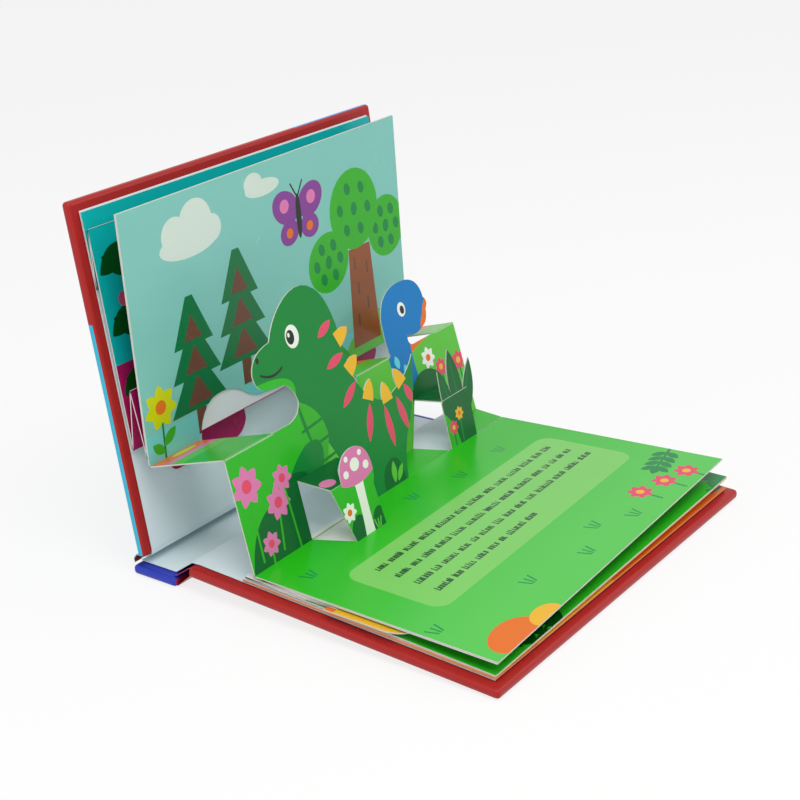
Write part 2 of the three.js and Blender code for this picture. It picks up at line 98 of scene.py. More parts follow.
# Camera fitted to the covers' corners: focal length and frame in pixels, the rest in millimetres
FOCAL_PX, PHOTO_PX, SENSOR = 1599, 800, 36.0
CAMERA_AT = (320.6, -351.7, 225.4)
CAMERA_FORWARD = (-0.5728, 0.727, -0.3787)
CAMERA_RIGHT = (0.7986, 0.5991, -0.0579)

# Lamps: name, place and size in metres, share of the key light's power, colour
LAMPS = (
    ("key", (0.35, -0.25, 0.75), 0.55, 1.0, (1, 0.99, 0.97)),
    ("fill", (-0.1, -0.9, 0.35), 0.8, 0.42, (0.97, 0.99, 1)),
    ("far", (0.75, 0.55, 0.6), 0.6, 0.5, (1, 1, 1)),
)
LIT_POINT = (0.04, 0, 0.04)
FLOOR_REACH = 3.0
FLOOR_GLOW = 0.8

INKS = {
    "sky": (128, 194, 186), "sky_low": (112, 205, 205), "teal": (10, 176, 176), "deep_teal": (0, 128, 130),
    "cyan": (100, 205, 220), "blue": (0, 118, 190), "cloud": (208, 222, 212), "purple": (132, 62, 148),
    "magenta": (170, 15, 90), "pink": (220, 120, 176), "hot_pink": (226, 74, 106),
    "orange": (228, 112, 22), "amber": (236, 180, 40), "yellow": (208, 210, 0), "edge_warm": (226, 160, 112),
    "wall": (44, 178, 32), "panel": (124, 204, 98), "far_green": (92, 190, 60), "leaf": (52, 172, 36),
    "figure": (0, 128, 50), "vein": (0, 132, 62), "fir": (0, 112, 60), "dark_green": (0, 98, 42),
    "dark_leaf": (0, 72, 14), "tuft": (0, 142, 70), "line": (34, 84, 42),
    "trunk": (146, 80, 42), "bark": (108, 66, 48), "ink": (28, 40, 34), "white": (236, 238, 232),
}
NEAR_FLOOR, FAR_FLOOR = (38, 184, 22), (84, 198, 78)
FLOOR_FADE = (0.045, 0.062)


def linear(value):
    value /= 255
    return value / 12.92 if value <= 0.04045 else ((value + 0.055) / 1.055) ** 2.4


def rgba(colour):
    """A shader colour from red, green and blue out of 255."""
    return (*(linear(v) for v in colour), 1.0)


def chosen(colour):
    return rgba([255 * c for c in colour])


def surface(name, colour, rough=0.3, mottle=0.03, bump=0.02, grain=5200.0, second=None, split=None,
            shine=0.26):
    """One printed or covered surface. split = (axis, place, width) turns it into the second colour there."""
    made = bpy.data.materials.get(name)
    if made:
        return made
    made = bpy.data.materials.new(name)
    made.use_nodes = True
    nodes, links = made.node_tree.nodes, made.node_tree.links
    shader = nodes["Principled BSDF"]
    place = nodes.new("ShaderNodeTexCoord")
    cloudy = nodes.new("ShaderNodeTexNoise")
    cloudy.inputs["Scale"].default_value = 60.0
    cloudy.inputs["Detail"].default_value = 4.0
    fibre = nodes.new("ShaderNodeTexNoise")
    fibre.inputs["Scale"].default_value = grain
    fibre.inputs["Detail"].default_value = 3.0
    links.new(place.outputs["Object"], cloudy.inputs["Vector"])
    links.new(place.outputs["Object"], fibre.inputs["Vector"])
    base = nodes.new("ShaderNodeMix")
    base.data_type = "RGBA"
    low = tuple(v * (1 - mottle) for v in colour[:3])
    high = tuple(min(1.0, v * (1 + mottle) + 0.002) for v in colour[:3])
    base.inputs[6].default_value = (*low, 1.0)
    base.inputs[7].default_value = (*high, 1.0)
    links.new(cloudy.outputs["Fac"], base.inputs[0])
    out = base.outputs[2]
    if second:
        axis, start, width = split
        parts = nodes.new("ShaderNodeSeparateXYZ")
        links.new(place.outputs["Object"], parts.inputs[0])
        ramp = nodes.new("ShaderNodeMapRange")
        ramp.inputs["From Min"].default_value = start
        ramp.inputs["From Max"].default_value = start + width
        links.new(parts.outputs[axis], ramp.inputs["Value"])
        both = nodes.new("ShaderNodeMix")
        both.data_type = "RGBA"
        both.inputs[7].default_value = second
        links.new(ramp.outputs["Result"], both.inputs[0])
        links.new(out, both.inputs[6])
        out = both.outputs[2]
    links.new(out, shader.inputs["Base Color"])
    shader.inputs["Specular IOR Level"].default_value = shine
    relief = nodes.new("ShaderNodeBump")
    relief.inputs["Strength"].default_value = bump
    relief.inputs["Distance"].default_value = 0.0002
    links.new(fibre.outputs["Fac"], relief.inputs["Height"])
    links.new(relief.outputs["Normal"], shader.inputs["Normal"])
    polish = nodes.new("ShaderNodeMapRange")
    polish.inputs["To Min"].default_value = max(0.05, rough - 0.02)
    polish.inputs["To Max"].default_value = min(1.0, rough + 0.03)
    links.new(cloudy.outputs["Fac"], polish.inputs["Value"])
    links.new(polish.outputs["Result"], shader.inputs["Roughness"])
    return made


def ink(name):
    if name == "floor":
        return surface("print_floor", rgba(NEAR_FLOOR), 0.22, second=rgba(FAR_FLOOR), split=("X", *FLOOR_FADE))
    return surface("print_" + name, rgba(INKS[name]), 0.26)


def edge_material():
    return surface("card_edge", rgba((206, 207, 198)), 0.8, 0.1, 0.25, 6000.0)


def back_material():
    return surface("card_back", rgba((232, 234, 237)), 0.55, 0.03, 0.05)


# Folds and panels, as in the part's source

class Fold:
    """A fold line across the page, from (x, z) at its near edge to (x, z) at its far edge."""

    def __init__(self, near, far=None):
        self.near = near
        self.far = far or near

    def at(self, y):
        t = y / PAGE_H
        return tuple(a + (b - a) * t for a, b in zip(self.near, self.far))

    def step(self, length, angles):
        """The next fold, a length away at an angle in degrees for each edge."""
        ends = []
        for (x, z), angle in zip((self.near, self.far), angles):
            a = math.radians(angle)
            ends.append((x + length * math.cos(a), z + length * math.sin(a)))
        return Fold(*ends)

    def shift(self, dx, dz):
        return Fold(*[(x + dx, z + dz) for x, z in (self.near, self.far)])

    def towards(self, other, length):
        """A fold line a length along the panel to another fold."""
        ends = []
        for (x, z), (u, w) in ((self.near, other.near), (self.far, other.far)):
            share = length / math.hypot(u - x, w - z)
            ends.append((x + (u - x) * share, z + (w - z) * share))
        return Fold(*ends)


def between(a, b):
    """The panel's length from one fold to the next at the near edge."""
    return math.hypot(b.near[0] - a.near[0], b.near[1] - a.near[1])


sky_foot = Fold((0.95, 36.2), (-2.6, 36.2))
sky_top = sky_foot.step(SKY_H, (90.5, 90.7))
shelf_lip = sky_foot.step(SHELF, (16.4, 15.7))
wall_foot = shelf_lip.step(WALL, (-78.3, -76.6))
fore_edge = wall_foot.step(GROUND, (-1.1, 2))
step_lip = sky_foot.step(STEP_SHELF, (15.5, 16.2))
step_foot = step_lip.step(STEP_WALL, (-76, -75))
box_back_a = wall_foot.towards(shelf_lip, BOX_A_HEIGHT)
box_foot_a = wall_foot.towards(fore_edge, BOX_A_DEPTH)
box_lip_a = box_back_a.step(BOX_A_DEPTH, (-1, 0))
box_back_c = step_lip.towards(step_foot, BOX_C_DROP)
box_lip_c = box_back_c.step(BOX_C_DEPTH, (8, 8))


# Outlines in (y, s): y along the spine from the near edge, s up from the first fold

def quad(y0, y1, s0, s1):
    return [(y0, s0), (y1, s0), (y1, s1), (y0, s1)]


def curve(start, *parts):
    """Points along straight, quadratic and cubic pieces, like the part's own outlines."""
    points = [start]
    for part in parts:
        a = points[-1]
        if len(part) == 1:
            points.append(part[0])
        for i in range(1, 11):
            t = i / 10
            u = 1 - t
            if len(part) == 2:
                b, c = part
                points.append(tuple(u * u * a[k] + 2 * u * t * b[k] + t * t * c[k] for k in (0, 1)))
            if len(part) == 3:
                b, c, d = part
                points.append(tuple(
                    u**3 * a[k] + 3 * u * u * t * b[k] + 3 * u * t * t * c[k] + t**3 * d[k] for k in (0, 1)))
    return points


def oval(y, s, ry, rs=None, turn=0.0, count=28):
    """An ellipse about (y, s), turned by degrees."""
    rs = ry if rs is None else rs
    a = math.radians(turn)
    out = []
    for i in range(count):
        t = 2 * math.pi * i / count
        p, q = ry * math.cos(t), rs * math.sin(t)
        out.append((y + p * math.cos(a) - q * math.sin(a), s + p * math.sin(a) + q * math.cos(a)))
    return out


def petal(y, s, length, width, turn):
    """A pointed leaf from its root, turn degrees from upright, clockwise positive."""
    a = math.radians(turn)
    out = []
    for i in range(13):
        t = i / 12
        out.append((width / 2 * math.sin(math.pi * t) ** 0.8, length * t))
    out += [(-p, q) for p, q in reversed(out[1:-1])]
    return [(y + p * math.cos(a) + q * math.sin(a), s - p * math.sin(a) + q * math.cos(a)) for p, q in out]


def bar(y0, s0, y1, s1, width):
    """A straight stroke with square ends."""
    d = math.hypot(y1 - y0, s1 - s0)
    p, q = -(s1 - s0) / d * width / 2, (y1 - y0) / d * width / 2
    return [(y0 + p, s0 + q), (y0 - p, s0 - q), (y1 - p, s1 - q), (y1 + p, s1 + q)]


def round_rect(y0, y1, s0, s1, r):
    out = []
    corners = ((y1 - r, s0 + r, -90), (y1 - r, s1 - r, 0), (y0 + r, s1 - r, 90), (y0 + r, s0 + r, 180))
    for cy, cs, a0 in corners:
        for i in range(7):
            a = math.radians(a0 + 15 * i)
            out.append((cy + r * math.cos(a), cs + r * math.sin(a)))
    return out


class Card:
    """One folded sheet: panels added one by one, then made into a mesh."""

    def __init__(self, name, node, props, edge="#edge"):
        self.name, self.node, self.edge, self.thick = name, node, edge, props.card_thickness / MM
        self.points, self.faces, self.slots, self.names = [], [], [], []

    def slot(self, name):
        if name not in self.names:
            self.names.append(name)
        return self.names.index(name)

    def panel(self, start, end, outlines, ground, prints=(), holes=(), side=1, back=None, cell=12.0,
              rows=1):
        """outlines, holes and prints lie in (y, s); side says which face carries the print."""
        rings = [(r, "card", None) for r in outlines] + [(r, "hole", None) for r in holes]
        rings += [(r, "print", n) for n, r in prints]
        ys = [p[0] for r in outlines for p in r]
        ss = [p[1] for r in outlines for p in r]
        flat, loops = [], []
        for ring, _, _ in rings:
            area = sum(a[0] * b[1] - b[0] * a[1] for a, b in zip(ring, ring[1:] + ring[:1]))
            ring = ring if area > 0 else ring[::-1]
            loops.append(list(range(len(flat), len(flat) + len(ring))))
            flat += [Vector(p) for p in ring]
        lines = []
        count = max(2, int((max(ys) - min(ys)) / cell))
        for i in range(1, count):
            y = min(ys) + (max(ys) - min(ys)) * i / count + 0.013
            lines.append((len(flat), len(flat) + 1))
            flat += [Vector((y, min(ss) - 1)), Vector((y, max(ss) + 1))]
        for i in range(1, rows):
            s = min(ss) + (max(ss) - min(ss)) * i / rows + 0.017
            lines.append((len(flat), len(flat) + 1))
            flat += [Vector((min(ys) - 1, s)), Vector((max(ys) + 1, s))]
        verts, _, tris, _, _, origin = delaunay_2d_cdt(flat, lines, loops, 0, 1e-5, True)
        kept = []
        for tri, parents in zip(tris, origin):
            kinds = [rings[p] for p in parents]
            if not any(k[1] == "card" for k in kinds) or any(k[1] == "hole" for k in kinds):
                continue
            shown = [p for p in parents if rings[p][1] == "print"]
            kept.append((tri, rings[max(shown)][2] if shown else ground))
        base = len(self.points)
        used = sorted({i for tri, _ in kept for i in tri})
        number = {v: i for i, v in enumerate(used)}
        for lift in (self.thick / 2 * side, -self.thick / 2 * side):
            for v in used:
                y, s = verts[v]
                (x0, z0), (x1, z1) = start.at(y), end.at(y)
                d = math.hypot(x1 - x0, z1 - z0)
                dx, dz = (x1 - x0) / d, (z1 - z0) / d
                self.points.append(((x0 + dx * s - dz * lift) * MM, (y - PAGE_H / 2) * MM,
                                    (z0 + dz * s + dx * lift) * MM))
        n = len(used)
        edges = {}
        for tri, name in kept:
            a, b, c = (base + number[i] for i in tri)
            # A ring that runs counter-clockwise in (y, s) faces away from the lift
            front = (a, c, b) if side > 0 else (a, b, c)
            self.faces.append(front)
            self.slots.append(self.slot(name))
            rear = tuple(i + n for i in reversed(front))
            self.faces.append(rear)
            self.slots.append(self.slot(back or "#back"))
            for i in range(3):
                edges[(front[i], front[(i + 1) % 3])] = True
        for a, b in edges:
            if (b, a) not in edges:
                self.faces.append((b, a, a + n, b + n))
                self.slots.append(self.slot(self.edge))

    def make(self):
        mesh = bpy.data.meshes.new(self.name)
        mesh.from_pydata(self.points, [], self.faces)
        for name in self.names:
            made = {"#edge": edge_material, "#back": back_material}.get(name)
            mesh.materials.append(made() if made else ink(name))
        mesh.polygons.foreach_set("material_index", self.slots)
        mesh.update()
        obj = bpy.data.objects.new(self.name, mesh)
        bpy.context.scene.collection.objects.link(obj)
        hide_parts(self.node)
        return obj


# Motifs, each a list of (ink, ring)

def tuft(y, s, size=3.2, colour="tuft"):
    return [(colour, bar(y - size * 0.22, s, y - size * 0.55, s + size, 0.6)),
            (colour, bar(y, s, y, s + size * 0.9, 0.6)),
            (colour, bar(y + size * 0.22, s, y + size * 0.5, s + size * 0.95, 0.6))]


def along(y, s, length, turn):
    """The point a length away, turn degrees from upright."""
    a = math.radians(turn)
    return y + length * math.sin(a), s + length * math.cos(a)


def frond(y, s, length, turn, leaves, colour, size=5.2, width=2.7):
    """A stalk with leaves in pairs and one at its tip."""
    out = [(colour, bar(y, s, *along(y, s, length, turn), 0.9))]
    for i in range(leaves):
        t = 0.25 + 0.7 * i / max(1, leaves - 1)
        p, q = along(y, s, length * t, turn)
        out += [(colour, petal(p, q, size, width, turn + 52)), (colour, petal(p, q, size, width, turn - 52))]
    return [*out, (colour, petal(*along(y, s, length * 0.95, turn), size, width, turn))]


def daisy(y, s, size, colour="pink", heart="amber", count=7):
    out = [(colour, petal(y, s, size, size * 0.6, 360 * i / count)) for i in range(count)]
    return [*out, (heart, oval(y, s, size * 0.32))]


def flower(y, s, height, size, colour="pink", heart="amber", lean=0.4, stem="vein"):
    return [(stem, bar(y, s, y + lean, s + height, 0.8)), *daisy(y + lean, s + height, size, colour, heart)]


def round_tree(y, s, height, spread):
    out = [("trunk", [(y - 6.5, s), (y + 8.5, s), (y + 6.0, s + height), (y - 5.5, s + height)])]
    marks = ((-2.5, 0.2, 1.0), (3.0, 0.34, 0.9), (-1.5, 0.52, 0.9), (3.6, 0.7, 0.8), (-2.8, 0.78, 0.7))
    for dy, ds, w in marks:
        out.append(("bark", bar(y + dy, s + height * ds, y + dy, s + height * (ds + 0.13), w)))
    for dy, ds, r, q in ((-17, -1, 10.5, 10.0), (16.5, 3, 10.0, 10.5), (-1, 13, 12.8, 13.5)):
        cy, cs = y + dy * spread, s + height + ds
        out.append(("leaf", oval(cy, cs, r, q, 12)))
        for i in range(6):
            a = math.radians(60 * i + dy * 7)
            out.append(("vein", oval(cy + r * 0.58 * math.cos(a), cs + q * 0.58 * math.sin(a), 1.5, 2.1, 20)))
        out.append(("vein", oval(cy, cs, 1.6, 2.2)))
    return out


def butterfly(y, s):
    return [("purple", oval(y - 6, s + 4, 6.6, 5.2, -28)), ("purple", oval(y + 6, s + 4, 6.6, 5.2, 28)),
            ("purple", oval(y - 5, s - 4.2, 4.6, 4.0, 20)), ("purple", oval(y + 5, s - 4.2, 4.6, 4.0, -20)),
            ("pink", oval(y - 6.6, s + 4.6, 2.2)), ("pink", oval(y + 6.6, s + 4.6, 2.2)),
            ("orange", oval(y - 5, s - 4.4, 1.6)), ("orange", oval(y + 5, s - 4.4, 1.6)),
            ("ink", oval(y, s, 1.3, 7.2)), ("ink", bar(y, s + 6, y - 3, s + 11, 0.6)),
            ("ink", bar(y, s + 6, y + 3, s + 11, 0.6))]


def cloud(y, s):
    return [("cloud", oval(y, s, 12.5, 4.2)), ("cloud", oval(y - 5.5, s + 3.6, 5.6)),
            ("cloud", oval(y + 3.5, s + 5.4, 7.0)), ("cloud", oval(y + 10, s + 2, 4.2))]


def conifer(y, s):
    out = [("bark", bar(y, s, y, s + 16, 4.2))]
    for ds, half, tall in ((8, 12.5, 17), (18, 10.5, 16), (28, 8.5, 15)):
        foot, tip, inner = s + ds, s + ds + tall, half * 0.45
        out.append(("fir", [(y - half, foot), (y + half, foot), (y + 1.5, tip), (y - 1.5, tip)]))
        out.append(("bark", [(y - inner, foot + 1.6), (y + inner, foot + 1.6), (y, foot + tall * 0.62)]))
    return out


# Sheets

def figure_outline():
    """The near wall with the standing figure cut out above its upper fold."""
    top, crown, far = WALL, WALL + FIGURE_RISE, FIGURE_FOOT
    return curve(
        (0, -LAP), [(BOX_A_FROM, -LAP)], [(BOX_A_FROM, BOX_A_HEIGHT)], [(BOX_A_TO, BOX_A_HEIGHT)],
        [(BOX_A_TO, -LAP)], [(far, -LAP)],
        [(far + 1, 9), (far + 6.5, 16)], [(far + 12, 22), (far + 16, top + 1)],
        [(far + 10, top - 6), (far - 2, top - 8)], [(far - 11, top - 6), (far - 15, top + 6)],
        [(far - 15, crown - 8), (far - 22, crown - 3)],
        [(far - 30, crown + 4), (far - 42, crown - 4), (far - 46, crown - 12)],
        [(far - 55, crown - 13), (far - 56, crown - 19)], [(far - 56, crown - 25), (far - 48, crown - 25)],
        [(far - 41, crown - 25), (far - 40, top + 5)], [(far - 41, top + 1), (far - 46, top + LAP)],
        [(SHELF_END, top + LAP)], [(0, top + LAP)])


def plates():
    """The row of small rounded teeth down the figure's back."""
    top, far = WALL, FIGURE_FOOT
    out = []
    for y, s, turn in ((far - 15.5, top + 17, -68), (far - 14, top + 7, -58), (far - 9, top - 3.5, -28),
                       (far - 1, top - 7, 4), (far + 7, top - 4.5, 24)):
        c, d = math.cos(math.radians(turn)), math.sin(math.radians(turn))

        def place(across, up):
            return (y + across * c - up * d, s + across * d + up * c)
        out.append(curve(place(-2.6, -2), [place(2.6, -2)], [place(2.34, 2.76), place(0, 4.6)],
                         [place(-2.34, 2.76), place(-2.6, -2)]))
    return out


def figure_prints():
    top, crown, far = WALL, WALL + FIGURE_RISE, FIGURE_FOOT
    arm = curve((far - 42, top - 8), [(far - 52, top - 13), (far - 54, top - 19)],
                [(far - 47, top - 23), (far - 36, top - 16)], [(far - 32, top - 6), (far - 42, top - 8)])
    lower = curve((far - 46, -LAP), [(far - 45, 14), (far - 38, 24)], [(far - 42, 33), (far - 41, top + 6)],
                  [(far - 36, crown - 22), (far - 56.5, crown - 22)], [(far - 57, crown + 3)],
                  [(far + 20, crown + 3)], [(far + 20, -LAP)])
    out = [("figure", lower)]
    belly = curve((far - 40.5, top + 5), [(far - 39, 31), (far - 38, 24)], [(far - 44, 14), (far - 45.5, 2)],
                  [(far - 38, 2)], [(far - 36, 16), (far - 31, 26)], [(far - 31, top), (far - 40.5, top + 5)])
    out += [("amber", p) for p in plates()]
    out += [("far_green", curve((far - 22, -LAP), [(far - 30, 22), (far - 33, 26)],
                                [(far - 37, 14), (far - 37, -LAP)])), ("leaf", belly)]
    for k in range(5):
        out.append(("figure", bar(far - 46 + k, 7 + 6 * k, far - 30 + k, 8.5 + 6 * k, 0.9)))
    out += [("figure", arm), ("white", oval(far - 36, crown - 13.4, 3.0, 3.5)),
            ("ink", oval(far - 36.8, crown - 13.4, 1.7, 2.2)),
            ("white", oval(far - 37.3, crown - 12.6, 0.5, 0.7)),
            ("ink", curve((far - 53, crown - 20), [(far - 48, crown - 23.4), (far - 43, crown - 20.6)],
                          [(far - 43.2, crown - 20.0)],
                          [(far - 48, crown - 22.4), (far - 52.8, crown - 19.4)])),
            ("ink", oval(far - 52.6, crown - 15.4, 0.7, 0.9))]
    stripes = ((-18, 23, 8, -115), (-16, 12, 9, -105), (-13.5, 2, 10, -125), (-9.5, -6.5, 12, -160),
               (-3, -9.5, 14, 178), (3.5, -9, 12, 168), (8.5, -6.5, 8, 158))
    for y, s, length, turn in stripes:
        out.append(("hot_pink", petal(far + y, top + s, length, 3.0, turn)))
    out += [("dark_green", curve((far - 12, -LAP), [(far - 12, 8), (far - 6, 9)],
                                 [(far - 1, 9), (far - 1, -LAP)])),
            ("far_green", petal(far - 6.5, 1, 7, 2.6, 8)), ("far_green", petal(far - 5, 1, 6, 2.2, 38))]
    bush = curve((0, -LAP), [(3, 13), (12, 16)], [(22, 24), (30, 20)], [(36, 12), (38, -LAP)])
    out += [("dark_green", [(max(0, y), s) for y, s in bush])]
    beds = ((5, 2, 23, 6.2, 0.6), (14, 2, 14, 5.2, 2.2), (21, 0, 22, 4.2, -1.0), (9, 0, 6, 3.8, 0.5))
    for y, s, h, size, lean in beds:
        out += flower(y, s, h, size, "pink", "hot_pink", lean, "leaf")
    return out


def sky_page(card):
    """The standing page, with the hole that the figure's head was cut from."""
    outline = curve(
        (0, -LAP), [(SHELF_END + 1.5, -LAP)], [(SHELF_END + 2, 8), (SHELF_END + 8, 11)],
        [(SHELF_END + 15, 13), (SHELF_END + 22, 8.5)], [(SHELF_END + 26, 5), (SHELF_END + 31, 4.4)],
        [(STEP_START - 5, 2.6)], [(STEP_START - 1, 1.6), (STEP_START, -LAP)], [(PAGE_H, -LAP)],
        [(PAGE_H, SKY_H)], [(0, SKY_H)])
    prints = [("sky_low", quad(0, PAGE_H, -1, 9))]
    prints += [("far_green", oval(118, -6, 26, 19, 0)), ("leaf", oval(84, -8, 16, 17, 0))]
    prints += conifer(24, 2) + conifer(46, 10) + cloud(27, 60) + butterfly(77, 55)
    prints += round_tree(106, 3, 34, 0.95) + flower(7, -1, 17, 6.8, "yellow", "orange")
    prints += [("leaf", petal(7, 4, 7, 3.4, 50)), ("leaf", petal(7, 2, 6, 3.2, -52))]
    prints += [("cloud", oval(61, 68, 8, 2.6)), ("cloud", oval(57, 70, 4.2, 3.4))]
    card.panel(sky_foot, sky_top, [outline], "sky", prints, side=-1, back="teal")


def shelves(card):
    """The two level strips between the sky page and the walls."""
    path = [("orange", quad(-1, 22, -1, 6)), ("pink", quad(-1, 22, 6, 9)), ("far_green", quad(-1, 22, 9, 14)),
            ("yellow", oval(12, 3, 5, 1.6)), ("wall", quad(-1, 22, 14, 33))]
    card.panel(sky_foot, shelf_lip, [quad(0, SHELF_END, -LAP, SHELF + LAP)], "wall", path)
    ground = [("orange", quad(70, 131, -1, 11)), ("amber", quad(70, 131, 4, 5.2)),
              ("hot_pink", oval(80, 2, 5, 1.4))]
    sides = [quad(a, b, -LAP, STEP_SHELF + LAP) for a, b in ((STEP_START, BIRD_FROM), (BIRD_TO, PAGE_H))]
    card.panel(sky_foot, step_lip, sides, "far_green", ground)


def step_wall(card):
    """The far wall with the bird cut out above its upper fold."""
    top, crown, sill = STEP_WALL, STEP_WALL + BIRD_RISE, STEP_WALL - BOX_C_DROP
    a, b = BIRD_FROM, BIRD_TO
    outline = curve(
        (STEP_START, -LAP), [(FLAP_END - 6, -LAP)], [(BOX_C_FROM, sill)], [(BOX_C_TO, sill)],
        [(BOX_C_TO, -LAP)], [(PAGE_H, -LAP)], [(PAGE_H, top + LAP)], [(b - 12, top + LAP)],
        [(b - 15, top + 0.5), (b - 14, top + 4)], [(b - 10, top + 2), (b - 5, top + 4)],
        [(b - 1.5, top + 5), (b - 1, top + 9)], [(b + 1.5, top + 11), (b - 0.8, top + 13)],
        [(b - 1, crown), (a + 14, crown)], [(a + 3, crown), (a + 0.5, top + 12)],
        [(a - 0.5, top + 6), (a + 0.5, top + LAP)], [(STEP_START, top + LAP)])
    chest = curve((a - 0.5, top - 13), [(a - 1, top), (a - 1, crown + 2)], [(b + 3, crown + 2)],
                  [(b + 3, top + 3)], [(b - 13, top + 3)], [(b - 15, top - 4), (b - 13.5, top - 13)])
    path = curve((a + 6, top - 4), [(a + 20, top + 1), (a + 26, top + 0.3)], [(a + 26, top + 1)],
                 [(a + 6, top + 1)])
    beak = curve((b - 6, top + 3), [(b - 1, top + 4), (b, top + 9)], [(b + 2.5, top + 11), (b + 2, top + 13.5)],
                 [(b - 2, top + 12), (b - 3.5, top + 8)], [(b - 6, top + 6), (b - 6, top + 3)])
    prints = [("orange", path), ("blue", chest), ("white", oval(a + 12, top + 12.6, 2.1, 2.4)),
              ("ink", oval(a + 12.3, top + 12.4, 1.1, 1.4)), ("orange", beak)]
    prints += [("cyan", petal(a + 2.5 + 3.6 * (k % 2), top - 0.5 - 4 * k, 4.6, 2.6, 172)) for k in range(3)]
    prints += daisy(112, top - 6.5, 3.8, "white", "orange") + flower(121, 2, 9, 3.4, "hot_pink")
    prints += flower(127, 2, 17, 3.6, "hot_pink") + flower(117, 0, 20, 3.2, "hot_pink")
    prints += [("dark_green", oval(108, sill - 1, 9.5, 8.5))]
    card.panel(step_foot, step_lip, [outline], "far_green", prints, side=-1)


def boxes(card):
    """The two boxes folded out of the walls, with a toadstool and leaves cut out above their folds."""
    high, middle, half = between(box_foot_a, box_lip_a), BOX_A_TO - 6.2, 7.4
    front = curve((BOX_A_FROM + BOX_A_SLANT[0], -LAP), [(BOX_A_TO + BOX_A_SLANT[1], -LAP)],
                  [(BOX_A_TO, high - 5)], [(middle + half, high - 3.4), (middle + half, high - 0.5)],
                  [(middle + half, high + 8), (middle, high + 8.4)],
                  [(middle - half, high + 8), (middle - half, high)], [(BOX_A_FROM, high)])
    cap = curve((middle - half - 0.2, high - 1), [(middle, high - 4.6), (middle + half + 0.2, high - 1)],
                [(middle + half + 1, high + 9), (middle, high + 9)],
                [(middle - half - 1, high + 9), (middle - half - 0.2, high - 1)])
    stalk = curve((middle - 2.2, -LAP), [(middle - 1.4, 8), (middle - 2, high - 2)], [(middle + 2, high - 2)],
                  [(middle + 1.4, 8), (middle + 2.2, -LAP)])
    prints = [("dark_green", oval(middle - 4, 1, 4.2, 6.5)), ("dark_green", oval(middle + 5.5, 1, 3.6, 5.5)),
              ("white", stalk), ("pink", cap)]
    spots = ((0, 3.2, 2.1, 2.0), (-4.6, 1.6, 1.2, 1.2), (4.8, 1.4, 1.3, 1.3), (3.2, 5.8, 0.9, 0.9),
             (-3.2, 5.9, 0.9, 0.9))
    for dy, ds, ry, rs in spots:
        prints.append(("white", oval(middle + dy, high + ds, ry, rs)))
    prints += daisy(31.4, 9.4, 3.2, "white", "orange") + tuft(30.5, 0.4, 3.4, "dark_green")
    prints += tuft(42.6, 0.3, 3, "far_green")
    card.panel(box_foot_a, box_lip_a, [front], "wall", prints, side=-1)
    lid = [quad(BOX_A_FROM, BOX_A_TO - 13.4, -LAP, BOX_A_DEPTH + LAP),
           curve((BOX_A_TO - 13.8, -LAP), [(BOX_A_TO, -LAP)], [(BOX_A_TO, 3)],
                 [(middle, 3.4), (middle - 7, BOX_A_DEPTH + LAP)], [(BOX_A_TO - 13.8, BOX_A_DEPTH + LAP)])]
    card.panel(box_back_a, box_lip_a, lid, "dark_green", [("pink", oval(29, 9, 3, 2.2))])
    tall = between(wall_foot, box_lip_c)
    a, b = BOX_C_FROM, BOX_C_TO
    leaves = curve((a, -LAP), [(b, -LAP)], [(b + 0.4, tall - 6)], [(b + 5.5, tall), (b + 4.4, tall + 9.5)],
                   [(b - 0.5, tall + 5), (b - 2.2, tall + 0.4)], [(b - 2, tall + 10), (b - 6, tall + 15.5)],
                   [(b - 9.8, tall + 9), (b - 9, tall + 0.8)], [(b - 10, tall + 7), (b - 13.6, tall + 10.5)],
                   [(b - 14.4, tall + 4), (a + 0.4, tall)], [(a, tall)])
    green = [("dark_green", curve((b - 9, -LAP), [(b - 10, 9), (a - 1, tall - 3)], [(a - 2, tall + 20)],
                                  [(b + 8, tall + 20)], [(b + 8, -LAP)])),
             ("fir", bar(b - 5.6, tall, b - 6, tall + 12, 0.7)),
             ("fir", bar(b - 1, tall - 1, b + 3.2, tall + 7, 0.6)),
             ("fir", bar(b - 10, tall - 1, b - 12.6, tall + 7, 0.6))]
    green += flower(a + 3, 0.5, 6, 2.6, "hot_pink") + flower(a + 7.4, 0.5, 9.5, 2.4, "amber", "orange")
    card.panel(wall_foot, box_lip_c, [leaves], "leaf", green, side=-1)
    card.panel(box_back_c, box_lip_c, [quad(a, b, -LAP, BOX_C_DEPTH + LAP)], "dark_green",
               [("fir", bar(a + 3, 2, a + 6, 9, 0.7)), ("fir", bar(a + 9, 1, a + 8, 8, 0.7))])


